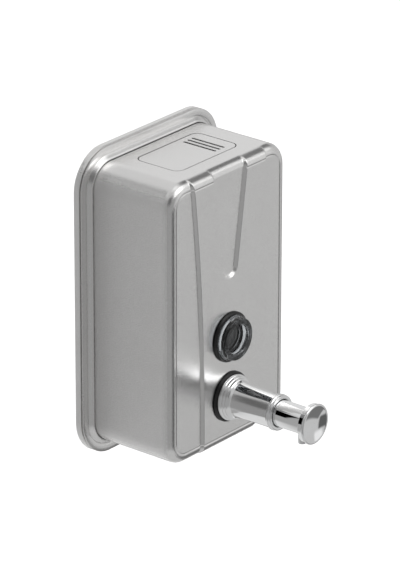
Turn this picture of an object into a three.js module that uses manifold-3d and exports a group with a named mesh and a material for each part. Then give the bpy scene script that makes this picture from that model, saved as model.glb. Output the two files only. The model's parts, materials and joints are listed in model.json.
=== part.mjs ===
// A wall mounted soap dispenser: a stainless steel tank with a top filler lid, a round
// sight window and a push plunger pump. Millimetres, +Z up. The wall is the plane Y = 0,
// the dispenser faces -Y, and the origin is the middle of the face that rests on the wall.
import * as THREE from 'three';
import { mergeVertices } from 'three/addons/utils/BufferGeometryUtils.js';
import loadManifold from 'manifold-3d';

const wasm = await loadManifold();
wasm.setup();

// ---------------------------------------------------------------- driving dimensions

const GAP = 0.3;                 // between pieces that touch on the real object
const SHEET = 1.0;               // stainless sheet of the shell
const THIN_SHEET = 0.8;          // stainless sheet of the back plate

const RIM = { width: 132.6, height: 205, radius: 25.6, front: -6.7, flangeBack: -5.7 };
const BODY = { width: 115, height: 187.4, radius: 16.5, front: -68.75, edge: 6 };
const TOP = BODY.height / 2;
const COLLAR = { width: 1.7, front: -8.9, edge: 1 };

// The raised middle panel of the front, and the U-shaped recess in its upper half.
const PANEL = { rise: 1.75, half: 26.1, flare: 0.000388, flareFrom: -70 };
const RECESS = { bottom: 19.4, endRadius: 6.3, halfAtEnd: 5.4, slope: 0.148 };

const DISH = { width: 98, height: 150, radius: 12, front: -12 };

const LID = { width: 59.4, depth: 34.4, radius: 5.5, thick: 1.2, y: -36 };
const SLOT = { first: 12.2, pitch: 4.1, count: 3, length: 26, width: 1.8 };
const HINGE = { x: -19, drop: 3.4, pin: 0.9, knuckle: 1.8 };
const LEDGE = { top: -3.3, bottom: -4.3, mouthWidth: 49, mouthDepth: 25, openFrom: -17 };

const WINDOW_Z = -21;
const PUMP_Z = -61.5;
const STEM_HOLE = 11.4;          // radius of the window and pump holes in the shell
const FACE = BODY.front - PANEL.rise;
const INSIDE = FACE + SHEET;     // back of the raised panel's sheet

// Plunger, at rest. Its stroke ends before the spout reaches the barrel's collar.
const TUBE = { radius: 8.65, inner: 7.6, front: -133.4, back: -92 };
const SPOUT = { y: -128, radius: 2.64, bore: 1.7, bottom: -15.5 };
const PISTON = { front: -70.6, back: -58, radius: 7 };
const CYLINDER = { outer: 9.9, inner: 7.6, front: -70.8, back: -34 };
const BARREL_BORE = 10.2;

const ROUND = 32;                // sides of a turned piece that shows
const PLAIN = 18;                // sides of a turned piece inside

// ---------------------------------------------------------------- solids

// A closed geometry as a solid, with its faces turned outward.
function toSolid(geometry) {
  geometry.deleteAttribute('normal');
  geometry.deleteAttribute('uv');
  const merged = mergeVertices(geometry, 1e-4);
  const at = merged.attributes.position;
  const corner = [0, 1, 2].map(() => new THREE.Vector3());
  const kept = [];
  let volume = 0;
  for (let i = 0; i < merged.index.count; i += 3) {
    const [a, b, c] = [0, 1, 2].map((k) => merged.index.getX(i + k));
    if (a === b || b === c || c === a) continue;
    kept.push(a, b, c);
    [a, b, c].forEach((v, k) => corner[k].fromBufferAttribute(at, v));
    volume += corner[0].dot(corner[1].cross(corner[2]));
  }
  if (volume < 0) kept.reverse();
  return new wasm.Manifold(new wasm.Mesh({
    numProp: 3,
    vertProperties: new Float32Array(at.array),
    triVerts: new Uint32Array(kept),
  }));
}

function toGeometry(solid) {
  const { vertProperties, triVerts } = solid.getMesh();
  const geometry = new THREE.BufferGeometry();
  geometry.setAttribute('position', new THREE.BufferAttribute(vertProperties, 3));
  geometry.setIndex(new THREE.BufferAttribute(triVerts, 1));
  geometry.computeVertexNormals();
  return geometry;
}

const join = (...solids) => solids.reduce((all, one) => all.add(one));
const cut = (solid, ...tools) => tools.reduce((left, tool) => left.subtract(tool), solid);

// A box between two corners.
function box([x0, y0, z0], [x1, y1, z1]) {
  const geometry = new THREE.BoxGeometry(x1 - x0, y1 - y0, z1 - z0);
  return toSolid(geometry.translate((x0 + x1) / 2, (y0 + y1) / 2, (z0 + z1) / 2));
}

function roundedRectangle(width, height, radius, x = 0, y = 0) {
  const [w, h] = [width / 2 - radius, height / 2 - radius];
  const shape = new THREE.Shape();
  shape.absarc(x + w, y + h, radius, 0, Math.PI / 2);
  shape.absarc(x - w, y + h, radius, Math.PI / 2, Math.PI);
  shape.absarc(x - w, y - h, radius, Math.PI, 1.5 * Math.PI);
  shape.absarc(x + w, y - h, radius, 1.5 * Math.PI, 2 * Math.PI);
  return shape;
}

// A prism of an outline drawn in X and Z, from y = back forward to y = front.
function prismForward(shape, back, front, arcs = 3) {
  const geometry = new THREE.ExtrudeGeometry(shape, {
    depth: back - front, bevelEnabled: false, curveSegments: arcs,
  });
  return toSolid(geometry.rotateX(Math.PI / 2).translate(0, back, 0));
}

// A prism of an outline drawn in X and Y, from z = low up to z = high.
function prismUp(shape, low, high, arcs = 3) {
  const geometry = new THREE.ExtrudeGeometry(shape, {
    depth: high - low, bevelEnabled: false, curveSegments: arcs,
  });
  return toSolid(geometry.translate(0, 0, low));
}

// A prism with a rounded front edge. Its back edge is rounded too, and is cut off square.
function roundedPrism(shape, back, front, edge, arcs) {
  const spare = 1;
  const geometry = new THREE.ExtrudeGeometry(shape, {
    depth: back + spare - front - edge, curveSegments: arcs,
    bevelThickness: edge, bevelSize: edge, bevelOffset: -edge, bevelSegments: arcs,
  });
  const whole = toSolid(geometry.rotateX(Math.PI / 2).translate(0, back + spare, 0));
  const far = RIM.height;
  return cut(whole, box([-far, back, -far], [far, back + far, far]));
}

// A body turned about the Y axis from [radius, y] points. A profile that starts off the
// axis is a ring, and closes on itself.
function turned(points, sides = PLAIN) {
  const profile = points.map(([radius, y]) => new THREE.Vector2(radius, y));
  if (points[0][0] > 0) profile.push(profile[0].clone());
  return toSolid(new THREE.LatheGeometry(profile, sides));
}

// The same, turned about the Z axis from [radius, z] points.
function turnedUpright(points, sides = PLAIN) {
  const profile = points.map(([radius, z]) => new THREE.Vector2(radius, z));
  if (points[0][0] > 0) profile.push(profile[0].clone());
  return toSolid(new THREE.LatheGeometry(profile, sides).rotateX(Math.PI / 2));
}

const ring = (inner, outer, y0, y1, sides) =>
  turned([[inner, y0], [outer, y0], [outer, y1], [inner, y1]], sides);
const disc = (radius, y0, y1, sides) =>
  turned([[0, y0], [radius, y0], [radius, y1], [0, y1]], sides);

function moved(geometrySolid, x, y, z) {
  return geometrySolid.translate([x, y, z]);
}

// A six-sided nut with a round bore, along Y.
function hexNut(bore, acrossFlats, y0, y1) {
  return cut(disc(acrossFlats / Math.sqrt(3), y0, y1, 6), disc(bore, y0 - 1, y1 + 1));
}

class Coil extends THREE.Curve {
  constructor(radius, start, end, turns) {
    super();
    Object.assign(this, { radius, start, end, turns });
  }

  getPoint(t, target = new THREE.Vector3()) {
    const angle = 2 * Math.PI * this.turns * t;
    const y = this.start + (this.end - this.start) * t;
    return target.set(this.radius * Math.cos(angle), y, this.radius * Math.sin(angle));
  }
}

function coilSpring(radius, wire, start, end, turns) {
  const sides = 6;
  const corners = Array.from({ length: sides }, (_, i) => new THREE.Vector2(
    wire * Math.cos((2 * Math.PI * i) / sides), wire * Math.sin((2 * Math.PI * i) / sides)));
  return toSolid(new THREE.ExtrudeGeometry(new THREE.Shape(corners), {
    extrudePath: new Coil(radius, start, end, turns), steps: turns * 8,
  }));
}

// ---------------------------------------------------------------- scene graph

const dispenser = new THREE.Group();
const lidGroup = new THREE.Group();
const windowGroup = new THREE.Group();
const pumpGroup = new THREE.Group();
lidGroup.position.set(0, LID.y, TOP);
windowGroup.position.set(0, 0, WINDOW_Z);
pumpGroup.position.set(0, 0, PUMP_Z);
dispenser.add(lidGroup, windowGroup, pumpGroup);

const FINISH = {
  brushed: { color: 0xb9b8b5, roughness: 0.32, metalness: 1 },
  galvanised: { color: 0x9ba0a3, roughness: 0.45, metalness: 0.9 },
  chrome: { color: 0xdfe1e2, roughness: 0.06, metalness: 1 },
  rubber: { color: 0x111112, roughness: 0.55, metalness: 0 },
  clear: { color: 0xc9d2d4, roughness: 0.05, metalness: 0, transparent: true, opacity: 0.4 },
  white: { color: 0xe9e9e4, roughness: 0.4, metalness: 0 },
};

function place(parent, name, solid, finish) {
  const material = new THREE.MeshStandardMaterial(FINISH[finish]);
  const mesh = new THREE.Mesh(toGeometry(solid), material);
  mesh.name = name;
  parent.add(mesh);
}

// ---------------------------------------------------------------- wall fixing

// Flat plate screwed to the wall, with two tongues that stand forward and up, and a
// thick bottom lug that holds the locking screw.
function wallBracket() {
  const thick = 1.2;
  const plate = box([-36, -thick, -94], [36, 0, 60]);
  const screwHoles = [[-24, 20], [24, 20], [0, -45]].map(([x, z]) =>
    moved(disc(2.75, -thick - 1, 1), x, 0, z));
  const tongues = [-18, 18].map((x) => join(
    box([x - 7, -9.8, 36], [x + 7, -thick / 2, 37.2]),
    box([x - 7, -9.8, 36], [x + 7, -8.6, 56])));
  const lug = cut(
    box([-8, -4.4, -94], [8, -thick / 2, -90.5]),
    moved(turnedUpright([[0, -5], [1.55, -5], [1.55, 5], [0, 5]]), 0, -2.3, -92));
  const screwRelief = box([-1.55, -2.3, -95], [1.55, -0.75, -87.5]);
  return cut(join(plate, ...tongues, lug), screwRelief, ...screwHoles);
}

// Headless screw, turned down out of the bracket's lug into the rim's lower hole.
function lockingScrew() {
  const socket = turnedUpright([[0, -103], [0.75, -103], [0.75, -101], [0, -101]], 6);
  const shank = turnedUpright(
    [[0, -102.3], [1.0, -102.3], [1.25, -102], [1.25, -88.6], [1.0, -88.3], [0, -88.3]], 16);
  return moved(cut(shank, socket), 0, -2.3, 0);
}

// Joggled strap welded behind the dish. The bracket's tongues hook up behind it.
function hangerStrap() {
  const [low, high] = [37.6, 50];
  const bridge = box([-34, -7.6, low], [34, -6.6, high]);
  const sides = [-1, 1].map((s) => box(
    [Math.min(s * 33, s * 34), -10.9, low], [Math.max(s * 33, s * 34), -6.6, high]));
  const feet = [-1, 1].map((s) => box(
    [Math.min(s * 33, s * 44), -10.9, low], [Math.max(s * 33, s * 44), -9.9, high]));
  return join(bridge, ...sides, ...feet);
}

// ---------------------------------------------------------------- tank

// Tray that closes the tank: a skirt back to the wall, and a dish pressed forward to
// leave room for the wall bracket.
function backPlate() {
  const outline = (inset) => roundedRectangle(
    RIM.width - 2 * inset, RIM.height - 2 * inset, RIM.radius - inset);
  const dish = (inset) => roundedRectangle(
    DISH.width - 2 * inset, DISH.height - 2 * inset, DISH.radius - inset);
  const landFront = RIM.flangeBack + GAP;
  const tray = cut(
    prismForward(outline(0), 0, landFront, 4),
    prismForward(outline(THIN_SHEET), 1, landFront + THIN_SHEET, 4));
  const screwHole = moved(
    turnedUpright([[0, -3], [1.6, -3], [1.6, 3], [0, 3]]), 0, -2.3, -RIM.height / 2);
  return cut(
    join(tray, prismForward(dish(0), landFront + THIN_SHEET / 2, DISH.front)),
    prismForward(dish(THIN_SHEET), 1, DISH.front + THIN_SHEET), screwHole);
}

// Flat frame round the tank's base, with a rounded collar that stands up round the shell.
function flangeFrame() {
  const grown = (extra) => roundedRectangle(
    BODY.width + 2 * extra, BODY.height + 2 * extra, BODY.radius + extra);
  const plate = prismForward(
    roundedRectangle(RIM.width, RIM.height, RIM.radius), RIM.flangeBack, RIM.front, 4);
  const collar = roundedPrism(
    grown(GAP + COLLAR.width), RIM.flangeBack, COLLAR.front, COLLAR.edge, 3);
  return cut(join(plate, collar), prismForward(grown(GAP), 0, COLLAR.front - 1, 3));
}

// Outline of the raised panel in X and Z, less the U-shaped recess that opens at the top.
function panelOutline(inset) {
  const far = RIM.height / 2;
  const half = (z) => PANEL.half - inset
    + PANEL.flare * Math.max(z - PANEL.flareFrom, 0) ** 2;
  const heights = Array.from({ length: 9 }, (_, i) => PANEL.flareFrom
    + (i / 8) * (far - PANEL.flareFrom));
  const recessTop = RECESS.halfAtEnd + RECESS.slope * (far - RECESS.bottom) + inset;
  const end = RECESS.endRadius + inset;
  const shape = new THREE.Shape();
  shape.moveTo(-half(-far), -far);
  heights.forEach((z) => shape.lineTo(-half(z), z));
  shape.lineTo(-recessTop, far);
  const tilt = Math.atan(RECESS.slope);
  const centre = RECESS.bottom + RECESS.endRadius;
  shape.absarc(0, centre, end, Math.PI - tilt, 2 * Math.PI + tilt);
  shape.lineTo(recessTop, far);
  heights.reverse().forEach((z) => shape.lineTo(half(z), z));
  shape.lineTo(half(-far), -far);
  return shape;
}

// The shell's outer surface, or its inner one when inset by the sheet.
function shellForm(inset, back) {
  const outline = roundedRectangle(
    BODY.width - 2 * inset, BODY.height - 2 * inset, BODY.radius - inset);
  const form = (front) => roundedPrism(outline, back, front + inset, BODY.edge - inset, 3);
  const panel = prismForward(panelOutline(inset), BODY.front / 2, FACE - 1, 3);
  return join(form(BODY.front), form(FACE).intersect(panel));
}

function bodyShell() {
  const back = RIM.flangeBack;
  const stemHole = (z) => moved(disc(STEM_HOLE, FACE - 1, BODY.front + 4, ROUND), 0, 0, z);
  const filler = prismUp(
    roundedRectangle(LID.width + 2 * GAP, LID.depth + 2 * GAP, LID.radius + GAP, 0, LID.y),
    TOP - 5, TOP + 5);
  return cut(shellForm(0, back), shellForm(SHEET, 1), stemHole(WINDOW_Z), stemHole(PUMP_Z),
    filler);
}

// ---------------------------------------------------------------- filler, lid and lock
// Drawn about the lid's middle, with z = 0 at the tank's top face.

const plan = (width, depth, radius) => roundedRectangle(width, depth, radius);
const WELL = { width: LID.width + 2.2, depth: LID.depth + 2.2 };

// Everything left of the ledge's open end, where the lid's tail swings down.
const tailSpace = (low, high) => box([-40, -40, low], [LEDGE.openFrom, 40, high]);

// Pressed frame under the top of the tank: a flange, a well, and a ledge on three sides.
function fillerFrame() {
  const under = -SHEET - GAP;
  const flange = prismUp(plan(72, 47, 8), under - SHEET, under);
  const wall = prismUp(plan(WELL.width + 1.6, WELL.depth + 1.6, 7), -8.3, under);
  const ledge = cut(
    prismUp(plan(WELL.width + 1, WELL.depth + 1, 7), LEDGE.bottom, LEDGE.top),
    prismUp(plan(LEDGE.mouthWidth, LEDGE.mouthDepth, 4), -9, 0),
    tailSpace(-9, 0));
  const well = prismUp(plan(WELL.width, WELL.depth, 6), -9, 0);
  return join(cut(join(flange, wall), well), ledge);
}

// Flat seal on the ledge, open at the hinge end as the ledge is.
function lidGasket() {
  const [low, high] = [LEDGE.top + GAP, -LID.thick - GAP];
  return cut(
    prismUp(plan(WELL.width - 2 * GAP, WELL.depth - 2 * GAP, 5.7), low, high),
    prismUp(plan(LEDGE.mouthWidth + 1, LEDGE.mouthDepth + 1, 4), low - 1, high + 1),
    tailSpace(low - 1, high + 1));
}

// Flat lid with three key slots. Its hinge end is rounded so that it clears the opening.
function fillerLid() {
  const plate = prismUp(plan(LID.width, LID.depth, LID.radius), -LID.thick, 0);
  const end = -LID.width / 2;
  const roundedEnd = cut(
    box([end - 1, -40, -LID.thick - 1], [end + LID.thick, 40, 1]),
    moved(disc(LID.thick, -41, 41, ROUND), end + LID.thick, 0, -LID.thick));
  const slots = Array.from({ length: SLOT.count }, (_, i) => prismUp(
    plan(SLOT.width, SLOT.length, SLOT.width / 2 - 0.01), -5, 5, 2)
    .translate([SLOT.first + i * SLOT.pitch, 0, 0]));
  return cut(plate, roundedEnd, ...slots);
}

const onHinge = (solid) => moved(solid, HINGE.x, 0, -HINGE.drop);

// Leaf under the lid, rolled round the pin.
function hingeLeaf() {
  const leaf = box([HINGE.x, -7, -2.5], [-8, 7, -LID.thick - GAP]);
  return cut(
    join(leaf, onHinge(disc(HINGE.knuckle, -7, 7))),
    onHinge(disc(HINGE.pin + GAP, -8, 8)));
}

// Bar across the well with two lugs that hold the pin.
function hingeBracket() {
  const reach = WELL.depth / 2 - GAP;
  const bar = box([HINGE.x + 2.5, -reach, -7.3], [HINGE.x + 6.5, reach, -5.3]);
  const arm = new THREE.Shape([[0, -1.7], [6.2, -5.3], [6.2, -7.3], [2.6, -7.3],
    [-1.5, -4.4]].map(([x, z]) => new THREE.Vector2(HINGE.x + x, z)));
  const lugs = [-1, 1].flatMap((s) => {
    const [back, front] = [s * 10 + 2, s * 10 - 2];
    return [prismForward(arm, back, front), onHinge(disc(HINGE.knuckle, front, back))];
  });
  return cut(join(bar, ...lugs), onHinge(disc(HINGE.pin + GAP, -20, 20)));
}

const hingePin = () => onHinge(disc(HINGE.pin, -13, 13, 16));

// Under the lid: two lipped rails and a back stop that guide the lock bolt.
const BOLT = { low: -6.0, high: -4.7, half: 5.6, back: 9, front: -11.5 };
const RAIL = { inner: 6, outer: 7.2, lip: 4.6 };

function lockGuide() {
  const x = SLOT.first + SLOT.pitch;
  const top = -LID.thick - GAP;
  const low = BOLT.low - 2 * GAP - 0.7;
  const outside = box([x - RAIL.outer, -10.5, low], [x + RAIL.outer, 10.5, top]);
  const channel = box([x - RAIL.inner, -11, BOLT.low - GAP], [x + RAIL.inner, 9.6, top + 1]);
  const between = box([x - RAIL.lip, -11, low - 1], [x + RAIL.lip, 9.6, top + 1]);
  return cut(outside, channel, between);
}

// Flat bolt with three holes for the key's prongs. Slid forward, its nose passes under
// the ledge and holds the lid down.
function lockBolt() {
  const x = SLOT.first + SLOT.pitch;
  const plate = box([x - BOLT.half, BOLT.front, BOLT.low], [x + BOLT.half, BOLT.back, BOLT.high]);
  const lugs = [-1, 0, 1].map((i) => {
    const middle = x + i * SLOT.pitch;
    return cut(
      box([middle - 1.4, -4, BOLT.high - 0.2], [middle + 1.4, 4, -2.2]),
      box([middle - 0.7, -2.6, BOLT.high - 2], [middle + 0.7, 2.6, 0]));
  });
  const prongHoles = [-1, 0, 1].map((i) => box(
    [x + i * SLOT.pitch - 0.7, -2.6, BOLT.low - 1], [x + i * SLOT.pitch + 0.7, 2.6, 0]));
  return cut(join(plate, ...lugs), ...prongHoles);
}

// ---------------------------------------------------------------- sight window

const WINDOW = { flange: 14.65, rim: 13.9, front: -77.6, recess: 9.9, floor: -72.6 };

const roundGasket = () => turned([[11.4, FACE - GAP], [16.5, FACE - GAP], [16.5, FACE - 1.4],
  [16, FACE - 1.9], [11.4, FACE - 1.9]], ROUND);

// Clear cup with a flange: a round recess in front, and a hollow stem into the tank.
const windowLens = () => turned([
  [0, WINDOW.floor], [9, WINDOW.floor], [WINDOW.recess, WINDOW.front + 0.4],
  [10.4, WINDOW.front], [13.3, WINDOW.front], [WINDOW.rim, WINDOW.front + 0.6],
  [WINDOW.rim, -74.2], [WINDOW.flange, -73.9], [WINDOW.flange, FACE - 2.2],
  [10.4, FACE - 2.2], [10.4, -59.5], [8.2, -59.5], [8.2, -71], [0, -71]], ROUND);

const sealWasher = () => ring(11.2, 16, INSIDE + GAP, INSIDE + 1.8);
const stemNut = (bore) => hexNut(bore, 29, INSIDE + 2.1, INSIDE + 8.1);

// ---------------------------------------------------------------- pump, fixed pieces

// Chrome barrel: stepped foot, waist, front collar, and a thin shank into the tank.
const pumpBarrel = () => turned([
  [BARREL_BORE, -58], [10.9, -58], [10.9, FACE - 2.2], [15, FACE - 2.2], [15, -74.3],
  [14.1, -74.9], [14.1, -76], [13.2, -76.6], [13.2, -77.6], [12.3, -78.3], [11.6, -80],
  [11.1, -84], [10.85, -92], [10.85, -107.6], [11.4, -107.9], [11.8, -108.6],
  [11.8, -109.4], [11.1, -109.8], [11.1, -110.4], [11.5, -110.8], [11.3, -111.5],
  [9.3, -111.5], [9.1, -111.1], [9.1, -110.6], [BARREL_BORE, -110.6]], ROUND);

const pumpCylinder = () => ring(CYLINDER.inner, CYLINDER.outer, CYLINDER.front, CYLINDER.back);
const rodGuide = () => ring(3.5, CYLINDER.outer, -74.2, CYLINDER.front - GAP);
const guideBush = () => ring(8.95, 9.9, -110.3, -103.5);
const wiperSeal = () => ring(8.95, 9.9, -103.2, -100.7);

// Plug on the cylinder's end that turns the suction downward. A ball rests on the
// narrow seat at its foot, under a rib that limits its lift.
const ELBOW = { y: -27, chamber: 3.4, seat: -16.5, foot: -23 };

function inletElbow() {
  const plug = disc(CYLINDER.outer, CYLINDER.back + GAP, -21);
  const passage = disc(3, CYLINDER.back - 1, ELBOW.y);
  const leg = turnedUpright([[0, ELBOW.foot], [5.5, ELBOW.foot], [5.5, 0], [0, 0]]);
  const chamber = turnedUpright([[0, ELBOW.foot - 1], [1.8, ELBOW.foot - 1],
    [1.8, ELBOW.seat], [ELBOW.chamber, ELBOW.seat + 0.8], [ELBOW.chamber, 0], [0, 0]]);
  const rib = box([-4, ELBOW.y - 0.6, -7.6], [4, ELBOW.y + 0.6, -6.4]);
  const at = (solid) => moved(solid, 0, ELBOW.y, 0);
  return join(cut(join(plug, at(leg)), passage, at(chamber)), rib);
}

// A ball, as a sphere with its poles on the Y axis.
const ball = (radius) => toSolid(new THREE.SphereGeometry(radius, 16, 10));

// Cup pushed over the elbow's foot, with slots in its wall and floor.
function suctionStrainer() {
  const cup = turnedUpright([[0, -29.5], [7.4, -29.5], [7.4, -19.5], [5.8, -19.5],
    [5.8, -23.5], [6.4, -23.5], [6.4, -28.5], [0, -28.5]]);
  const wallSlots = [0, 1, 2].map((i) => box([-9, -0.8, -28], [9, 0.8, -24.5])
    .rotate([0, 0, i * 60]));
  const floorSlots = [-3, 0, 3].map((x) => box([x - 0.7, -4, -31], [x + 0.7, 4, -28]));
  return moved(cut(cup, ...wallSlots, ...floorSlots), 0, ELBOW.y, 0);
}

// ---------------------------------------------------------------- pump, moving pieces

// Chrome tube that slides in the barrel, with the spout's hole in its underside.
function plungerTube() {
  const hole = moved(turnedUpright([[0, -12], [2.4, -12], [2.4, 0], [0, 0]]), 0, SPOUT.y, 0);
  return cut(ring(TUBE.inner, TUBE.radius, TUBE.front, TUBE.back, ROUND), hole);
}

// Hollow rod from a plug in the tube's back end to the piston.
const plungerRod = () => turned([[1.8, -98], [7.3, -98], [7.3, -92.5], [3.2, -91.5],
  [3.2, PISTON.front - GAP], [1.8, PISTON.front - GAP]]);

// Piston with a groove for its seal and a chamber for the outlet valve's ball.
const piston = () => turned([[1.4, PISTON.back], [PISTON.radius, PISTON.back],
  [PISTON.radius, -61], [5.9, -61], [5.9, -64.5], [PISTON.radius, -64.5],
  [PISTON.radius, PISTON.front], [2.7, PISTON.front], [2.7, -60.6], [1.4, -59.4]]);

const pistonSeal = () => ring(6.2, 7.3, -64.2, -61.3);

// Round push button with a dished face, a proud front rim and a spigot into the tube.
const buttonCap = () => turned([[0, -131], [7.3, -131], [7.3, -133.7], [12.3, -133.7],
  [12.6, -134], [12.6, -136.6], [13, -136.9], [13.2, -137.4], [13.1, -137.9],
  [12.7, -138.3], [12.3, -138.4], [9, -137.8], [5, -137.35], [0, -137.15]], ROUND);

// Short spout under the tube, just behind the button.
const spoutNozzle = () => moved(turnedUpright([[SPOUT.bore, -7.2], [SPOUT.bore, SPOUT.bottom],
  [SPOUT.radius - 0.3, SPOUT.bottom], [SPOUT.radius, SPOUT.bottom + 0.3],
  [SPOUT.radius, -TUBE.radius - GAP], [2.1, -TUBE.radius - GAP], [2.1, -7.2]]), 0, SPOUT.y, 0);

// ---------------------------------------------------------------- assembly

place(dispenser, 'wall_bracket', wallBracket(), 'galvanised');
place(dispenser, 'locking_screw', lockingScrew(), 'galvanised');
place(dispenser, 'hanger_strap', hangerStrap(), 'galvanised');
place(dispenser, 'back_plate', backPlate(), 'brushed');
place(dispenser, 'flange_frame', flangeFrame(), 'brushed');
place(dispenser, 'body_shell', bodyShell(), 'brushed');

place(lidGroup, 'filler_frame', fillerFrame(), 'brushed');
place(lidGroup, 'lid_gasket', lidGasket(), 'rubber');
place(lidGroup, 'filler_lid', fillerLid(), 'brushed');
place(lidGroup, 'lid_hinge_leaf', hingeLeaf(), 'galvanised');
place(lidGroup, 'lid_hinge_bracket', hingeBracket(), 'galvanised');
place(lidGroup, 'lid_hinge_pin', hingePin(), 'galvanised');
place(lidGroup, 'lock_guide', lockGuide(), 'galvanised');
place(lidGroup, 'lock_bolt', lockBolt(), 'galvanised');

place(windowGroup, 'window_gasket', roundGasket(), 'rubber');
place(windowGroup, 'window_lens', windowLens(), 'clear');
place(windowGroup, 'window_washer', sealWasher(), 'rubber');
place(windowGroup, 'window_nut', stemNut(10.7), 'white');

place(pumpGroup, 'pump_gasket', roundGasket(), 'rubber');
place(pumpGroup, 'pump_barrel', pumpBarrel(), 'chrome');
place(pumpGroup, 'pump_washer', sealWasher(), 'rubber');
place(pumpGroup, 'pump_nut', stemNut(11.2), 'chrome');
place(pumpGroup, 'pump_cylinder', pumpCylinder(), 'white');
place(pumpGroup, 'rod_guide', rodGuide(), 'white');
place(pumpGroup, 'guide_bush', guideBush(), 'white');
place(pumpGroup, 'wiper_seal', wiperSeal(), 'rubber');
place(pumpGroup, 'inlet_elbow', inletElbow(), 'white');
place(pumpGroup, 'inlet_ball', moved(ball(3), 0, ELBOW.y, -13.8), 'chrome');
place(pumpGroup, 'suction_strainer', suctionStrainer(), 'white');

place(pumpGroup, 'plunger_tube', plungerTube(), 'chrome');
place(pumpGroup, 'plunger_rod', plungerRod(), 'white');
place(pumpGroup, 'piston', piston(), 'white');
place(pumpGroup, 'piston_seal', pistonSeal(), 'rubber');
place(pumpGroup, 'outlet_ball', moved(ball(2.2), 0, -61.5, 0), 'chrome');
place(pumpGroup, 'outlet_spring', coilSpring(1.6, 0.3, -70.1, -64.3, 4), 'galvanised');
place(pumpGroup, 'return_spring', coilSpring(5.8, 0.55, PISTON.back + 1, -34.6, 6), 'galvanised');
place(pumpGroup, 'button_cap', buttonCap(), 'chrome');
place(pumpGroup, 'spout_nozzle', spoutNozzle(), 'chrome');

export default dispenser;
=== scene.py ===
"""Looks of the wall mounted soap dispenser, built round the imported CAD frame.

Dimensions are written in millimetres and scaled once, when a mesh is made. The wall is the
plane Y = 0, the dispenser faces -Y and +Z is up, as in the CAD.
"""

import json
import math

import bmesh
import bpy
import numpy as np
from mathutils import Matrix, Vector

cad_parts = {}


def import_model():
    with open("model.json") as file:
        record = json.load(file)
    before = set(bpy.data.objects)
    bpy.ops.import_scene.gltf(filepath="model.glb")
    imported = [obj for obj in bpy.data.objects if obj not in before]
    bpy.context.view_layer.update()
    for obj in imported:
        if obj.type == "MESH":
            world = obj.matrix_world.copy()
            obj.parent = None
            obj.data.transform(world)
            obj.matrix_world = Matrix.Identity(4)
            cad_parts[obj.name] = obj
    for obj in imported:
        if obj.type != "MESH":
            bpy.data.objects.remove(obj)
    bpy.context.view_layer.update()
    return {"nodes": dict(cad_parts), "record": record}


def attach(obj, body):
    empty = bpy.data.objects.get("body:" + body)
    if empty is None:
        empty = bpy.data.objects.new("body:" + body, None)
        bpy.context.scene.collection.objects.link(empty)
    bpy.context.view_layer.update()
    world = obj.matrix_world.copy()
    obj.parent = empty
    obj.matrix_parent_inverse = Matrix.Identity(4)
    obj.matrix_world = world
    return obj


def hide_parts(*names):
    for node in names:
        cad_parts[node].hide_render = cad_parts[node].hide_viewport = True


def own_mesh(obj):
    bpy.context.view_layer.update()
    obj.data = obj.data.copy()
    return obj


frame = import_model()

MM = 0.001

# ------------------------------------------------------------------ dimensions, as in the CAD

# rounded rectangles: width, height, corner radius
RIM = (132.6, 205.0, 25.6)
BODY = BODY_W, BODY_H, BODY_R = 115.0, 187.4, 16.5
DISH = (98.0, 150.0, 12.0)
LID_W, LID_D, LID_R = 59.4, 34.4, 5.5

FLANGE_BACK, FLANGE_FRONT = -5.7, -6.7
DISH_FRONT = -12.0           # front of the tray's dish, inside the tank's foot
BASE_FRONT = -68.75          # front of the shell beside the raised panel
EDGE = 6.0                   # radius of the fillet round the front
TOP = BODY_H / 2
SHEET = 1.0                  # thickness of the shell
RISE = 1.75                  # of the raised panel
FACE = BASE_FRONT - RISE     # front of the raised panel
INSIDE = FACE + SHEET
LID_Y = -36.0                # middle of the lid
LID_GAP = 0.6                # between the lid and its opening
LID_THICK = 1.2
WINDOW_Z, PUMP_Z = -21.0, -61.5
STEM_HOLE = 11.4             # radius of the holes for the window and the pump
SPOUT_Y = -128.0

# ------------------------------------------------------------------ node materials


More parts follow.
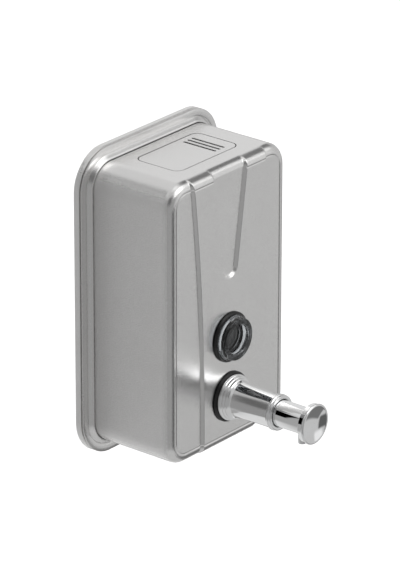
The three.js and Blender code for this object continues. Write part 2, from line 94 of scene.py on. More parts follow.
class Shader:
    """A material's node tree, with short calls to add and join nodes."""

    def __init__(self, name):
        self.material = bpy.data.materials.new(name)
        self.material.use_nodes = True
        self.tree = self.material.node_tree
        self.nodes = self.tree.nodes
        self.principled = self.nodes["Principled BSDF"]
        coordinates = self.nodes.new("ShaderNodeTexCoord")
        self.position = coordinates.outputs["Object"]

    def node(self, kind, inputs=None, **settings):
        made = self.nodes.new("ShaderNode" + kind)
        for key, value in settings.items():
            setattr(made, key, value)
        for key, value in (inputs or {}).items():
            if isinstance(value, bpy.types.NodeSocket):
                self.tree.links.new(value, made.inputs[key])
            else:
                made.inputs[key].default_value = value
        return made

    def stretched(self, scale):
        """The object position scaled along each axis, for a texture with a direction."""
        return self.node("Mapping", {"Vector": self.position, "Scale": scale}).outputs["Vector"]

    def noise(self, vector, scale, detail):
        inputs = {"Vector": vector, "Scale": scale, "Detail": detail}
        return self.node("TexNoise", inputs).outputs["Fac"]

    def spread(self, value, low, high, source=(0.3, 0.7)):
        """value's usual range, mapped to low..high."""
        inputs = {"Value": value, "From Min": source[0], "From Max": source[1],
                  "To Min": low, "To Max": high}
        return self.node("MapRange", inputs).outputs["Result"]

    def maths(self, operation, a, b):
        return self.node("Math", {0: a, 1: b}, operation=operation).outputs[0]

    def mix(self, factor, a, b):
        made = self.node("Mix", data_type="RGBA")
        for socket, value in ((made.inputs[0], factor), (made.inputs[6], a), (made.inputs[7], b)):
            if isinstance(value, bpy.types.NodeSocket):
                self.tree.links.new(value, socket)
            else:
                socket.default_value = value
        return made.outputs[2]

    def bump(self, height, strength, distance):
        inputs = {"Height": height, "Strength": strength, "Distance": distance}
        return self.node("Bump", inputs).outputs["Normal"]

    def set(self, **sockets):
        for key, value in sockets.items():
            socket = self.principled.inputs[key.replace("_", " ")]
            if isinstance(value, bpy.types.NodeSocket):
                self.tree.links.new(value, socket)
            else:
                socket.default_value = value
        return self.material


def grey(value, warm=0.0):
    """A linear grey, tinted a little toward red and yellow by warm."""
    return (value * (1 + warm), value, value * (1 - warm), 1)


def brushed(name, low, high):
    """Satin stainless: nearly smooth on the front and top, coarser with a fine speckle on the
    sides, which are ground across the polishing direction."""
    s = Shader(name)
    scratches = s.noise(s.stretched((9000, 9000, 700)), 1.0, 1.0)
    speckle = s.noise(s.position, 1300.0, 2.0)
    cloud = s.noise(s.position, 28.0, 3.0)
    fine = s.maths("ADD", s.maths("MULTIPLY", scratches, 0.45), s.maths("MULTIPLY", speckle, 0.55))
    normal = s.node("SeparateXYZ", {0: s.node("TexCoord").outputs["Normal"]}).outputs["X"]
    side = s.spread(s.maths("ABSOLUTE", normal, 0.0), 0, 1, (0.72, 0.98))
    tone = s.maths("ADD", s.maths("MULTIPLY", fine, 0.8), s.maths("MULTIPLY", cloud, 0.2))
    colour = s.mix(s.spread(tone, 0, 1, (0.34, 0.66)), grey(low, 0.009), grey(high, 0.005))
    rough = s.maths("ADD", s.spread(fine, 0.16, 0.22), s.maths("MULTIPLY", side, 0.18))
    bump = s.bump(s.maths("MULTIPLY", fine, s.spread(side, 0.15, 1.0, (0, 1))), 0.8, 0.0005)
    return s.set(Base_Color=colour, Metallic=1.0, Roughness=rough, Normal=bump)


def plated(name, value, roughness):
    """Polished chrome with faint wipe marks in its gloss."""
    s = Shader(name)
    wipes = s.noise(s.stretched((60, 60, 260)), 1.0, 3.0)
    dust = s.noise(s.position, 900.0, 2.0)
    colour = s.mix(s.spread(wipes, 0, 1), grey(value * 0.97), grey(value, -0.008))
    rough = s.spread(s.maths("MULTIPLY", wipes, dust), roughness, roughness + 0.05, (0.1, 0.4))
    return s.set(Base_Color=colour, Metallic=1.0, Roughness=rough)


def galvanised(name, low, high):
    """Dull zinc-grey steel with soft cloudy patches."""
    s = Shader(name)
    patches = s.noise(s.stretched((160, 160, 110)), 1.0, 4.0)
    fine = s.noise(s.position, 1500.0, 3.0)
    tone = s.maths("ADD", s.maths("MULTIPLY", patches, 0.6), s.maths("MULTIPLY", fine, 0.4))
    colour = s.mix(s.spread(tone, 0, 1, (0.3, 0.7)), grey(low, -0.02), grey(high, -0.01))
    return s.set(Base_Color=colour, Metallic=1.0, Roughness=s.spread(fine, 0.38, 0.52),
                 Normal=s.bump(fine, 0.15, 0.00005))


def rubber(name):
    """Moulded black rubber, faintly mottled and satin."""
    s = Shader(name)
    fine = s.noise(s.position, 1800.0, 3.0)
    cloud = s.noise(s.position, 120.0, 2.0)
    colour = s.mix(s.spread(cloud, 0, 1), grey(0.003), grey(0.006))
    return s.set(Base_Color=colour, Roughness=s.spread(fine, 0.08, 0.16), Specular_IOR_Level=0.5,
                 Normal=s.bump(fine, 0.12, 0.00004))


def clear(name):
    """Smoke-clear moulded plastic with faint flow marks in its gloss."""
    s = Shader(name)
    flow = s.noise(s.stretched((90, 30, 90)), 1.0, 2.0)
    colour = s.mix(s.spread(flow, 0, 1), (0.33, 0.345, 0.36, 1), (0.43, 0.445, 0.46, 1))
    return s.set(Base_Color=colour, Transmission_Weight=1.0, IOR=1.49,
                 Roughness=s.spread(flow, 0.02, 0.05))


def white_plastic(name):
    """Injection moulded polypropylene, slightly waxy."""
    s = Shader(name)
    fine = s.noise(s.position, 1400.0, 2.0)
    cloud = s.noise(s.position, 60.0, 2.0)
    colour = s.mix(s.spread(cloud, 0, 1), (0.72, 0.72, 0.69, 1), (0.80, 0.80, 0.78, 1))
    return s.set(Base_Color=colour, Roughness=s.spread(fine, 0.34, 0.46),
                 Normal=s.bump(fine, 0.08, 0.00005))


MATERIALS = {
    "brushed_stainless": brushed("brushed_stainless", 0.82, 0.90),
    "inner_steel": galvanised("inner_steel", 0.42, 0.52),
    "chrome": plated("chrome", 0.94, 0.02),
    "black_rubber": rubber("black_rubber"),
    "clear_plastic": clear("clear_plastic"),
    "white_plastic": white_plastic("white_plastic"),
    "ball_steel": plated("ball_steel", 0.62, 0.10),
    "spring_steel": plated("spring_steel", 0.52, 0.20),
}
SLOT_OF = {part["node"]: part["material_slot"] for part in frame["record"]["subparts"]}
BODY_OF = {node: body for body, nodes in frame["record"]["behaviour"]["bodies"].items()
           for node in nodes}

# ------------------------------------------------------------------ mesh helpers

SMOOTH = 32.0               # an edge that turns by more degrees is shown sharp


def build(name, points, faces, smooth=SMOOTH):
    """A mesh object from points in millimetres."""
    mesh = bpy.data.meshes.new(name)
    mesh.from_pydata([tuple(float(c) * MM for c in p) for p in points], [], faces)
    obj = bpy.data.objects.new(name, mesh)
    bpy.context.scene.collection.objects.link(obj)
    finish_mesh(obj, smooth)
    return obj


def finish_mesh(obj, smooth):
    """Joins coincident points, turns the faces outward and marks the sharp edges."""
    work = bmesh.new()
    work.from_mesh(obj.data)
    bmesh.ops.remove_doubles(work, verts=work.verts, dist=1e-7)
    bmesh.ops.recalc_face_normals(work, faces=work.faces)
    for face in work.faces:
        face.smooth = True
    for edge in work.edges:
        edge.smooth = len(edge.link_faces) == 2 and edge.calc_face_angle() < math.radians(smooth)
    work.to_mesh(obj.data)
    work.free()


def show(obj, node):
    """obj stands for that CAD node: it rides on its body and takes its finish."""
    obj.data.materials.clear()
    obj.data.materials.append(MATERIALS[SLOT_OF[node]])
    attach(obj, BODY_OF[node])
    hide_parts(node)
    return obj


def outline(width, height, radius, steps=14):
    """Points of a rounded rectangle about the origin, anticlockwise, with steps + 1 points in
    each corner."""
    points = []
    for quarter, (sx, sy) in enumerate(((1, 1), (-1, 1), (-1, -1), (1, -1))):
        cx, cy = sx * (width / 2 - radius), sy * (height / 2 - radius)
        for k in range(steps + 1):
            angle = math.pi / 2 * (quarter + k / steps)
            points.append((cx + radius * math.cos(angle), cy + radius * math.sin(angle)))
    return points


def soften(profile, radius, closed, steps=3):
    """The profile with each corner turned into a small arc that starts radius before it. A
    corner that is nearly straight stays."""
    made, count = [], len(profile)
    for i, corner in enumerate(profile):
        corner = np.array(corner, float)
        if not closed and i in (0, count - 1):
            made.append(corner)
            continue
        before = np.array(profile[i - 1], float)
        after = np.array(profile[(i + 1) % count], float)
        a, b = before - corner, after - corner
        la, lb = np.linalg.norm(a), np.linalg.norm(b)
        if np.dot(a, b) / (la * lb) < -0.985:
            made.append(corner)
            continue
        reach = min(radius, 0.45 * la, 0.45 * lb)
        start, end = corner + a / la * reach, corner + b / lb * reach
        for k in range(steps + 1):
            t = k / steps
            made.append((1 - t) ** 2 * start + 2 * t * (1 - t) * corner + t * t * end)
    return made


def lathe(name, profile, z, radius, sides=96, centre=None):
    """A body turned from (radius, distance along) points about the line along Y at height z,
    or about the upright line at centre, from z up. radius softens the profile's corners. A
    profile that starts off the axis closes on itself."""
    ring_shaped = profile[0][0] > 0
    profile = soften(profile, radius, ring_shaped)
    points, faces, rows = [], [], []
    for r, along in profile:
        row = []
        for k in range(sides if r > 1e-6 else 1):
            angle = 2 * math.pi * k / sides
            a, b = r * math.cos(angle), r * math.sin(angle)
            if centre is None:
                points.append((a, along, z + b))
            else:
                points.append((centre[0] + a, centre[1] + b, z + along))
            row.append(len(points) - 1)
        rows.append(row)
    pairs = list(zip(rows, rows[1:])) + ([(rows[-1], rows[0])] if ring_shaped else [])
    for one, two in pairs:
        for k in range(sides):
            quad = [one[k % len(one)], one[(k + 1) % len(one)],
                    two[(k + 1) % len(two)], two[k % len(two)]]
            quad = [v for i, v in enumerate(quad) if v not in quad[:i]]
            if len(quad) > 2:
                faces.append(quad)
    return build(name, points, faces)


def loft(name, loops, closed, smooth=SMOOTH):
    """Skin over loops of equal point counts: joined end to end, or with both ends filled."""
    count = len(loops[0])
    points = [p for loop in loops for p in loop]
    faces = []
    last = len(loops) if closed else len(loops) - 1
    for i in range(last):
        a, b = i * count, (i + 1) % len(loops) * count
        for k in range(count):
            n = (k + 1) % count
            faces.append([a + k, a + n, b + n, b + k])
    if not closed:
        faces.append(list(range(count)))
        faces.append(list(range((len(loops) - 1) * count, len(loops) * count)))
    return build(name, points, faces, smooth)


def apply_modifiers(obj):
    depsgraph = bpy.context.evaluated_depsgraph_get()
    mesh = bpy.data.meshes.new_from_object(obj.evaluated_get(depsgraph))
    obj.modifiers.clear()
    obj.data = mesh


def cut_away(obj, cutters, smooth=SMOOTH):
    """Cuts the solids from obj, and removes them."""
    for cutter in cutters:
        modifier = obj.modifiers.new("cut", "BOOLEAN")
        modifier.operation, modifier.solver, modifier.object = "DIFFERENCE", "EXACT", cutter
    apply_modifiers(obj)
    for cutter in cutters:
        bpy.data.objects.remove(cutter)
    finish_mesh(obj, smooth)
    return obj


def plate(name, width, depth, corner, low, high, edge, at, smooth=SMOOTH):
    """A flat plate in X and Y with its middle at a point, from z = low to z = high, and with
    its edges softened by edge."""
    half_way = edge * 0.3
    levels = [(edge, low), (half_way, low + half_way), (0, low + edge),
              (0, high - edge), (half_way, high - half_way), (edge, high)]
    loops = []
    for inset, z in levels:
        flat = outline(width - 2 * inset, depth - 2 * inset, corner - inset)
        loops.append([(at[0] + x, at[1] + y, z) for x, y in flat])
    return loft(name, loops, closed=False, smooth=smooth)


# ------------------------------------------------------------------ shell

PANEL_HALF = 26.1                   # half width of the raised panel, up to where it flares
PANEL_FLARE, FLARE_FROM = 0.000388, -70.0
RECESS_HALF, RECESS_HALF_AT = 8.45, 40.0    # a half width of the recess, and its height
RECESS_SLOPE = 0.148                # its half width grows by this for each millimetre up
RECESS_Z, RECESS_R = 25.7, 6.33     # middle and radius of its round lower end
FLANK, RECESS_FLANK = 2.0, 2.4      # runs of the pressed flanks
FLANK_BEND = 0.22                   # share of a flank's run in each of its rounded ends
FLANK_LEAN = 0.99                   # cosine of the pressed lines' lean from upright
GROOVE, GROOVE_RUN = 0.28, 1.5      # crease where the fillet meets the front
GROOVE_MARGIN = 0.2                 # of finely spaced loops past the groove
INNER_X, INNER_Z = BODY_W / 2 - BODY_R, BODY_H / 2 - BODY_R


def panel_half(z):
    """Half width of the raised panel, at the middle of its flank."""
    return PANEL_HALF + PANEL_FLARE * np.maximum(z - FLARE_FROM, 0) ** 2


def recess_half(z):
    """Half width of the recess in the panel, at the middle of its flank."""
    return RECESS_HALF + RECESS_SLOPE * (z - RECESS_HALF_AT)


def ramp(t):
    """0 to 1 over t = -0.5..0.5, a straight slope with rounded ends."""
    t, bend = np.clip(t + 0.5, 0, 1), FLANK_BEND
    low = t * t / (2 * bend)
    high = 1 - bend - (1 - t) ** 2 / (2 * bend)
    middle = t - bend / 2
    return np.where(t < bend, low, np.where(t > 1 - bend, high, middle)) / (1 - bend)


def emboss(x, z):
    """The shares, from 0 to 1, of the raised panel and of the recess pressed into it."""
    side = np.abs(x)
    panel = ramp((panel_half(z) - side) * FLANK_LEAN / FLANK)
    outside = np.where(z > RECESS_Z, (side - recess_half(z)) * FLANK_LEAN,
                       np.hypot(x, z - RECESS_Z) - RECESS_R)
    return panel, 1 - ramp(outside / RECESS_FLANK)


def proud(x, z, inset):
    """Forward shift of the front at a point that lies inset millimetres inside the fillet. The
    recess is as deep as the panel is high, and it interrupts the groove."""
    panel, recess = emboss(x, z)
    across = abs(2 * inset / GROOVE_RUN - 1)
    groove = GROOVE * (1 - ramp(across - 0.5))
    return (1 - recess) * (RISE * panel - groove)


def spaced(*spans):
    """Numbers from several (start, end, count) spans in a row, each end left to the next."""
    made = []
    for start, end, count in spans:
        made += list(np.linspace(start, end, count, endpoint=False))
    return made + [spans[-1][1]]


def columns(z):
    """X positions across the middle of the front at height z, following the pressed lines."""
    recess, panel = float(recess_half(max(z, RECESS_Z))), float(panel_half(z))
    a, b = 1.4, 1.3         # reach of the fine columns on each side of the two lines
    half = spaced((0, recess - a, 12), (recess - a, recess + a, 14),
                  (recess + a, panel - b, 7), (panel - b, panel + b, 13),
                  (panel + b, INNER_X, 3))
    return [-x for x in reversed(half[1:])] + half


def body_shell():
    """The pressed front as a grid of rows and columns, then loops round it over the fillet and
    back along the walls to the foot."""
    rows = spaced((-INNER_Z, 14, 26), (14, 30, 40), (30, INNER_Z, 14))
    edge_steps, corner_steps = 12, 14
    # for each loop: outward reach from the grid, y, inset from the fillet, and the share of
    # the pressing that reaches it
    groove_end = GROOVE_RUN + GROOVE_MARGIN
    insets = spaced((BODY_R - EDGE, groove_end, 6), (groove_end, 0, 14))
    loops = [(BODY_R - EDGE - i, BASE_FRONT, i, 1.0) for i in insets]
    for k in range(1, edge_steps + 1):
        angle = math.pi / 2 * k / edge_steps
        loops.append((BODY_R - EDGE * (1 - math.sin(angle)),
                      BASE_FRONT + EDGE * (1 - math.cos(angle)), 0.0, math.cos(angle)))
    wall = spaced((BASE_FRONT + EDGE + 0.6, -50, 3), (-50, FLANGE_BACK, 6))
    loops += [(BODY_R, y, 0.0, 0.0) for y in wall]

    points, index = [], {}

    def add(x, y, z, inset, share):
        forward = share * float(proud(x, z, inset)) if share else 0.0
        points.append((x, y - forward, z))
        return len(points) - 1

    count = len(columns(0))
    for j, z in enumerate(rows):
        for i, x in enumerate(columns(z)):
            index[i, j] = add(x, BASE_FRONT, z, insets[0], 1.0)
    faces = [[index[i, j], index[i + 1, j], index[i + 1, j + 1], index[i, j + 1]]
             for j in range(len(rows) - 1) for i in range(count - 1)]

    def corner(sx, sz, start, reach, y, *level):
        made = []
        for k in range(1, corner_steps):
            angle = start + math.pi / 2 * k / corner_steps
            made.append(add(sx * INNER_X + reach * math.cos(angle), y,
                            sz * INNER_Z + reach * math.sin(angle), *level))
        return made

    def hub(i, j):
        """The grid's corner point, once for each point of the rounded corner outside it."""
        return [index[i, j]] * (corner_steps - 1)

    last_row, last_column = len(rows) - 1, count - 1
    previous = ([index[last_column, j] for j in range(len(rows))] + hub(last_column, last_row)
                + [index[i, last_row] for i in reversed(range(count))] + hub(0, last_row)
                + [index[0, j] for j in reversed(range(len(rows)))] + hub(0, 0)
                + [index[i, 0] for i in range(count)] + hub(last_column, 0))
    for ring_at in loops[1:]:
        reach, y, inset, share = ring_at
        high, low = INNER_Z + reach, -INNER_Z - reach
        loop = ([add(INNER_X + reach, y, z, inset, share) for z in rows]
                + corner(1, 1, 0, *ring_at)
                + [add(x, y, high, inset, share) for x in reversed(columns(high))]
                + corner(-1, 1, math.pi / 2, *ring_at)
                + [add(-INNER_X - reach, y, z, inset, share) for z in reversed(rows)]
                + corner(-1, -1, math.pi, *ring_at)
                + [add(x, y, low, inset, share) for x in columns(low)]
                + corner(1, -1, 1.5 * math.pi, *ring_at))
        for k in range(len(loop)):
            n = (k + 1) % len(loop)
            quad = [previous[k], previous[n], loop[n], loop[k]]
            quad = [v for i, v in enumerate(quad) if v not in quad[:i]]
            if len(quad) > 2:
                faces.append(quad)
        previous = loop
    shell = build("body_shell_formed", points, faces)
    # the outside has to face outward before it is given its thickness
    if shell.data.polygons[0].normal.y > 0:
        shell.data.flip_normals()
    thick = shell.modifiers.new("thick", "SOLIDIFY")
    thick.thickness, thick.offset, thick.use_even_offset = SHEET * MM, -1, True
    apply_modifiers(shell)
    past = 4.0              # how far a cutter reaches past the sheet
    drill = [(0, FACE - past), (STEM_HOLE, FACE - past), (STEM_HOLE, BASE_FRONT + past),
             (0, BASE_FRONT + past)]
    holes = [lathe("hole", drill, z, 0.01) for z in (WINDOW_Z, PUMP_Z)]
    holes.append(plate("hole", LID_W + 2 * LID_GAP, LID_D + 2 * LID_GAP, LID_R + LID_GAP,
                       TOP - past, TOP + past, 0.1, (0, LID_Y)))
    return show(cut_away(shell, holes), "body_shell")


body_shell()

# ------------------------------------------------------------------ rim


def around(rectangle, profile):
    """Loops round a rounded rectangle, from (distance outside it, y) points."""
    width, height, radius = rectangle
    return [[(x, y, z) for x, z in outline(width + 2 * out, height + 2 * out, radius + out, 24)]
            for out, y in profile]


def flange_frame():
    back, front = FLANGE_BACK, FLANGE_FRONT
    inside = [(0.3, -8.45), (0.3, back)]
    edge = [(-0.7, back), (-0.2, back - 0.15), (0.0, back - 0.4), (0.0, front + 0.45),
            (-0.13, front + 0.13), (-0.45, front)]
    # the crease at the collar's foot, its slope and its rounded lip
    collar = [(4.1, front), (3.8, front + 0.1), (3.5, front + 0.4), (3.2, front + 0.1),
              (2.7, front - 0.38), (1.7, front - 1.62), (1.35, front - 1.98),
              (0.95, front - 2.17), (0.6, front - 2.15), (0.4, front - 2.02)]
    loops = around(BODY, inside) + around(RIM, edge) + around(BODY, collar)
    return show(loft("flange_frame_formed", loops, closed=True), "flange_frame")


flange_frame()


def back_plate():
    """A tray: a dish inside the tank's foot, a land behind the flange, and a folded skirt
    whose edge meets the wall, with a hole for the locking screw."""
    t, land, front = 0.8, FLANGE_BACK + 0.3, DISH_FRONT
    dish = [(-6, front), (-1.2, front), (-0.35, front + 0.35), (0, front + 1.2),
            (0, land - 1.4), (0.4, land - 0.4), (1.4, land)]
    # out along the land, down into the seam beside the flange, over the skirt and back inside
    skirt = [(-1.6, land), (-1.5, land + 0.75), (-0.3, land + 0.8), (-0.1, land + 0.88),
             (0, land + 1.1), (0, -0.8), (-0.07, -0.45), (-0.25, -0.18), (-0.5, -0.03),
             (-0.72, -0.02), (-0.8, -0.15), (-0.8, land + 2.2), (-1.5, land + 1.7),
             (-2.4, land + t)]
    under = [(1.4 + t, land + t), (-0.2, land + 0.2), (-t, land - 1.0), (-t, front + 1.6),
             (-1.4, front + t + 0.1), (-6, front + t)]
    loops = around(DISH, dish) + around(RIM, skirt) + around(DISH, under)
    made = loft("back_plate_formed", loops, closed=False)
    drill = lathe("hole", [(0, -4), (1.6, -4), (1.6, 4), (0, 4)], -RIM[1] / 2, 0.01, 24,
                  (0, -2.3))
    return show(cut_away(made, [drill]), "back_plate")


back_plate()

# ------------------------------------------------------------------ filler lid


def filler_lid():
    """The lid, with three parallel slots for its key."""
    level = 15.0            # few enough degrees to keep the flat top's shading level
    lid = plate("filler_lid_formed", LID_W, LID_D, LID_R, TOP - LID_THICK, TOP, 0.14,
                (0, LID_Y), level)
    first, pitch, width, length, end = 12.2, 4.1, 1.9, 26.0, 0.94
    slots = [plate("slot", width, length, end, TOP - 4, TOP + 3, 0.05,
                   (first + pitch * i, LID_Y)) for i in range(3)]
    return show(cut_away(lid, slots, level), "filler_lid")


filler_lid()

# ------------------------------------------------------------------ turned pieces

GASKET = [(STEM_HOLE, FACE - 0.3), (16.3, FACE - 0.3), (16.5, FACE - 0.8),
          (16.2, FACE - 1.4), (15.2, FACE - 1.9), (STEM_HOLE, FACE - 1.9)]
CAP_FRONT, CAP_DISH, CAP_RIM = -138.4, 1.75, 12.3   # the button's dish: front, depth, radius


def ring(inner, outer, back, front):
    return [(inner, back), (outer, back), (outer, front), (inner, front)]


WASHER = ring(11.2, 16, INSIDE + 0.3, INSIDE + 1.8)

TURNED = {
    # node: (profile, height of the axis, corner softening)
    "window_gasket": (GASKET, WINDOW_Z, 0.35),
    "window_lens": ([(0, -72.6), (9, -72.6), (9.9, -77.2), (10.4, -77.6), (13.3, -77.6),
                     (13.9, -77.0), (13.9, -74.2), (14.65, -73.9), (14.65, -72.7),
                     (10.4, -72.7), (10.4, -59.5), (8.2, -59.5), (8.2, -71), (0, -71)],
                    WINDOW_Z, 0.3),
    "window_washer": (WASHER, WINDOW_Z, 0.3),
    "pump_gasket": (GASKET, PUMP_Z, 0.35),
    "pump_washer": (WASHER, PUMP_Z, 0.3),
    "pump_barrel": ([(10.2, -58), (10.9, -58), (10.9, -72.7), (15, -72.7), (15, -74.3),
                     (14.1, -74.9), (14.1, -76), (13.2, -76.6), (13.2, -77.6), (12.3, -78.3),
                     (11.6, -80), (11.1, -84), (10.85, -92), (10.85, -107.6), (11.4, -107.9),
                     (11.8, -108.6), (11.8, -109.4), (11.1, -109.8), (11.1, -110.4),
                     (11.5, -110.8), (11.3, -111.5), (9.3, -111.5), (9.1, -111.1),
                     (9.1, -110.6), (10.2, -110.6)], PUMP_Z, 0.35),
    "pump_cylinder": (ring(7.6, 9.9, -70.8, -34), PUMP_Z, 0.3),
    "rod_guide": (ring(3.5, 9.9, -74.2, -71.1), PUMP_Z, 0.3),
    "guide_bush": (ring(8.95, 9.9, -110.3, -103.5), PUMP_Z, 0.2),
    "wiper_seal": (ring(8.95, 9.9, -103.2, -100.7), PUMP_Z, 0.2),
    "plunger_tube": (ring(7.6, 8.65, -133.4, -92), PUMP_Z, 0.2),
    "plunger_rod": ([(1.8, -98), (7.3, -98), (7.3, -92.5), (3.2, -91.5), (3.2, -70.9),
                     (1.8, -70.9)], PUMP_Z, 0.3),
    "piston": ([(1.4, -58), (7, -58), (7, -61), (5.9, -61), (5.9, -64.5), (7, -64.5),
                (7, -70.6), (2.7, -70.6), (2.7, -60.6), (1.4, -59.4)], PUMP_Z, 0.2),
    "piston_seal": (ring(6.2, 7.3, -64.2, -61.3), PUMP_Z, 0.3),
    "button_cap": ([(0, -131), (7.3, -131), (7.3, -133.7), (12.3, -133.7), (12.6, -134),
                    (12.6, -136.6), (13.0, -136.9), (13.2, -137.4), (13.1, -137.9),
                    (12.7, -138.3)]
                   + [(r, CAP_FRONT + CAP_DISH * (1 - (r / CAP_RIM) ** 2))
                      for r in (CAP_RIM, 11, 9.5, 8, 6.5, 5, 3.5, 2, 1, 0)], PUMP_Z, 0.0),
}
for node, (profile, height, radius) in TURNED.items():
    show(lathe(node + "_turned", profile, height, radius), node)

nozzle = [(1.7, -7.2), (1.7, -15.5), (2.34, -15.5), (2.64, -15.2), (2.64, -8.95), (2.1, -8.95),
          (2.1, -7.2)]
show(lathe("spout_nozzle_turned", nozzle, PUMP_Z, 0.2, 48, (0, SPOUT_Y)), "spout_nozzle")


def ball(node, radius, y, z):
    steps = 24
    arc = [(radius * math.sin(math.pi * k / steps), -radius * math.cos(math.pi * k / steps))
           for k in range(steps + 1)]
    arc[0], arc[-1] = (0, -radius), (0, radius)
    return show(lathe(node + "_turned", arc, z, 0.0, 48, (0, y)), node)


ball("inlet_ball", 3.0, -27.0, PUMP_Z - 13.8)
ball("outlet_ball", 2.2, -61.5, PUMP_Z)

# ------------------------------------------------------------------ springs


def spring(node, radius, wire, start, end, turns):
    """A coil about the pump's axis, of a wire of radius wire, from y = start to y = end."""
    sides, per_turn = 10, 28
    steps = turns * per_turn
    points, faces = [], []
    for k in range(steps + 1):
        angle = 2 * math.pi * k / per_turn
        y = start + (end - start) * k / steps
        out = Vector((math.cos(angle), 0, math.sin(angle)))
        along = Vector((-radius * math.sin(angle) * 2 * math.pi * turns, end - start,
                        radius * math.cos(angle) * 2 * math.pi * turns)).normalized()
        across = along.cross(out).normalized()
        centre = Vector((0, y, PUMP_Z)) + out * radius
        for i in range(sides):
            turn = 2 * math.pi * i / sides
            points.append(centre + out * wire * math.cos(turn) + across * wire * math.sin(turn))
    for k in range(steps):
        for i in range(sides):
            n = (i + 1) % sides
            faces.append([k * sides + i, k * sides + n, (k + 1) * sides + n, (k + 1) * sides + i])
    faces.append(list(range(sides)))
    faces.append(list(range(steps * sides, (steps + 1) * sides)))
    return show(build(node + "_wound", points, faces), node)


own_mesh(spring("return_spring", 5.8, 0.55, -57.0, -34.6, 6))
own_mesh(spring("outlet_spring", 1.6, 0.3, -70.1, -64.3, 4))

# ------------------------------------------------------------------ CAD nodes that stay

for name, node in frame["nodes"].items():
    if not node.hide_render:
        node.data.materials.clear()
        node.data.materials.append(MATERIALS[SLOT_OF[name]])

# ------------------------------------------------------------------ camera, light and floor


def toward(azimuth, elevation):
    """The direction at an azimuth from straight in front, and an elevation, in degrees."""
    a, e = math.radians(azimuth), math.radians(elevation)
    return Vector((math.sin(a) * math.cos(e), -math.cos(a) * math.cos(e), math.sin(e)))


camera = bpy.data.objects.new("camera", bpy.data.cameras.new("camera"))
bpy.context.scene.collection.objects.link(camera)
bpy.context.scene.camera = camera
camera.location = (-2.07585, -1.73313, 1.13674)
camera.rotation_mode = "QUATERNION"
camera.rotation_quaternion = ((-toward(-50.903, 22.891)).to_track_quat("-Z", "Y")
                              @ Matrix.Rotation(math.radians(0.0945), 3, "Z").to_quaternion())
camera.data.lens, camera.data.sensor_width = 294.44, 36.0
camera.data.clip_start, camera.data.clip_end = 0.1, 60.0

bpy.context.scene.view_settings.view_transform = "Standard"


PANELS = (
    # azimuth and elevation of the middle, half width, half height and softness in degrees,
    # then its grey; a later panel lies over an earlier one
    (170, 48, 60, 32, 18, 0.78),        # above the wall side
    (-105, 0, 42, 36, 22, 0.44),        # left
    (-35, -4, 48, 34, 12, 0.385),       # behind the camera
    (72, -16, 36, 36, 10, 0.64),        # right
    (160, -48, 48, 18, 16, 0.85),       # low on the wall side
    (20, -24, 17, 8, 4, 0.13),          # dark gap in front
    (70, -41, 24, 10, 3, 0.20),         # dim, low on the right
    (97, -24, 11, 6, 4, 0.32),          # dim, right
    (-45, 28, 20, 17, 8, 0.17),         # the camera's own dark shape
    (42, 34, 18, 15, 6, 1.15),          # pale, front right
    (19, 39, 17, 18, 4, 2.1),           # softbox, front right
    (38, 3, 9, 17, 6, 1.0),             # its lower part
    (98, 28, 20, 9, 8, 0.45),           # dim, right
    (94, 43, 17, 9, 13, 0.10),          # dark card, up on the right
    (128, 20, 9, 24, 7, 0.88),          # pale, behind on the right
    (122, -28, 12, 11, 4, 0.10),        # dark, straight behind
    (-150, 47, 9, 5, 2, 0.25),          # grey, up behind on the left
    (-136, 36, 6, 6, 2, 0.22),          # its lower end
    (-129, 18, 10, 15, 2, 0.0),         # black strip, behind on the left
)
BETWEEN_PANELS = 0.62       # grey of the room where there is no panel
ROOM_STRENGTH = 0.84


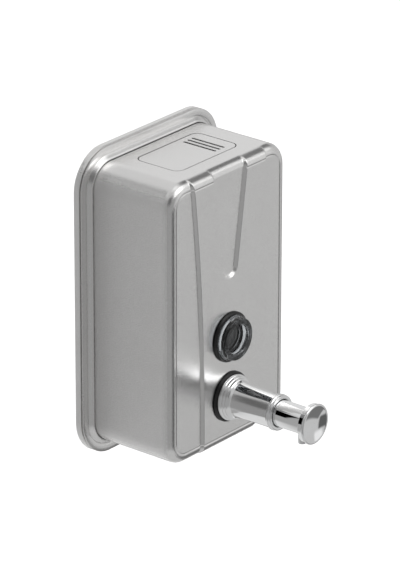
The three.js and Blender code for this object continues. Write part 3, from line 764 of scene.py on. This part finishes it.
def world():
    """A studio of soft pale and dark panels that only reflections and light see; the camera
    sees plain white."""
    made = bpy.data.worlds.new("studio")
    bpy.context.scene.world = made
    made.use_nodes = True
    tree = made.node_tree
    nodes, link = tree.nodes, tree.links.new
    background, output = nodes["Background"], nodes["World Output"]
    direction = nodes.new("ShaderNodeTexCoord").outputs["Generated"]

    def dot(axis):
        made = nodes.new("ShaderNodeVectorMath")
        made.operation = "DOT_PRODUCT"
        link(direction, made.inputs[0])
        made.inputs[1].default_value = axis
        return made.outputs["Value"]

    def maths(operation, a, b=None):
        made = nodes.new("ShaderNodeMath")
        made.operation = operation
        for socket, value in zip(made.inputs, (a, b)):
            if isinstance(value, bpy.types.NodeSocket):
                link(value, socket)
            elif value is not None:
                socket.default_value = value
        return made.outputs[0]

    def inside(offset, half, soft):
        """1 where the offset's size is under the half width, fading to 0 over the softness."""
        fade = nodes.new("ShaderNodeMapRange")
        fade.interpolation_type = "SMOOTHSTEP"
        link(maths("ABSOLUTE", offset), fade.inputs["Value"])
        fade.inputs["From Min"].default_value = math.tan(math.radians(half + soft / 2))
        fade.inputs["From Max"].default_value = math.tan(math.radians(max(half - soft / 2, 0)))
        return fade.outputs["Result"]

    value = None
    for azimuth, elevation, half_width, half_height, soft, level in PANELS:
        middle, across = toward(azimuth, elevation), toward(azimuth + 90, 0)
        ahead = dot(middle)
        near = maths("MAXIMUM", ahead, 0.01)
        mask = maths("MULTIPLY", inside(maths("DIVIDE", dot(across), near), half_width, soft),
                     inside(maths("DIVIDE", dot(across.cross(middle)), near), half_height, soft))
        mask = maths("MULTIPLY", mask, maths("GREATER_THAN", ahead, 0.02))
        mix = nodes.new("ShaderNodeMix")
        link(mask, mix.inputs[0])
        if value is None:
            mix.inputs[2].default_value = BETWEEN_PANELS
        else:
            link(value, mix.inputs[2])
        mix.inputs[3].default_value = level
        value = mix.outputs[0]
    link(value, background.inputs["Color"])
    background.inputs["Strength"].default_value = ROOM_STRENGTH
    plain = nodes.new("ShaderNodeBackground")
    plain.inputs["Color"].default_value = (1, 1, 1, 1)
    seen = nodes.new("ShaderNodeLightPath").outputs["Is Camera Ray"]
    choose = nodes.new("ShaderNodeMixShader")
    link(seen, choose.inputs["Fac"])
    link(background.outputs["Background"], choose.inputs[1])
    link(plain.outputs["Background"], choose.inputs[2])
    link(choose.outputs["Shader"], output.inputs["Surface"])


world()


def floor():
    """A plain pale floor that reflections don't see, low enough for a view from below."""
    s = Shader("floor")
    s.set(Base_Color=(0.93, 0.93, 0.925, 1), Roughness=0.8, Emission_Color=(1, 1, 1, 1),
          Emission_Strength=0.6)
    size, z = 12000.0, -2000.0
    made = build("floor", [(-size, -size, z), (size, -size, z), (size, size, z), (-size, size, z)],
                 [[0, 1, 2, 3]])
    made.data.materials.append(s.material)
    made.visible_glossy = False


floor()


def softbox(name, at, target, size, watts):
    """A square area light, in metres, that shines at target."""
    light = bpy.data.lights.new(name, "AREA")
    light.shape, light.size, light.energy = "SQUARE", size, watts
    obj = bpy.data.objects.new(name, light)
    bpy.context.scene.collection.objects.link(obj)
    obj.location = at
    obj.rotation_mode = "QUATERNION"
    obj.rotation_quaternion = (Vector(target) - Vector(at)).to_track_quat("-Z", "Y")


softbox("overhead", (0.2, -0.4, 2.4), (0, -0.035, 0), 1.2, 2)
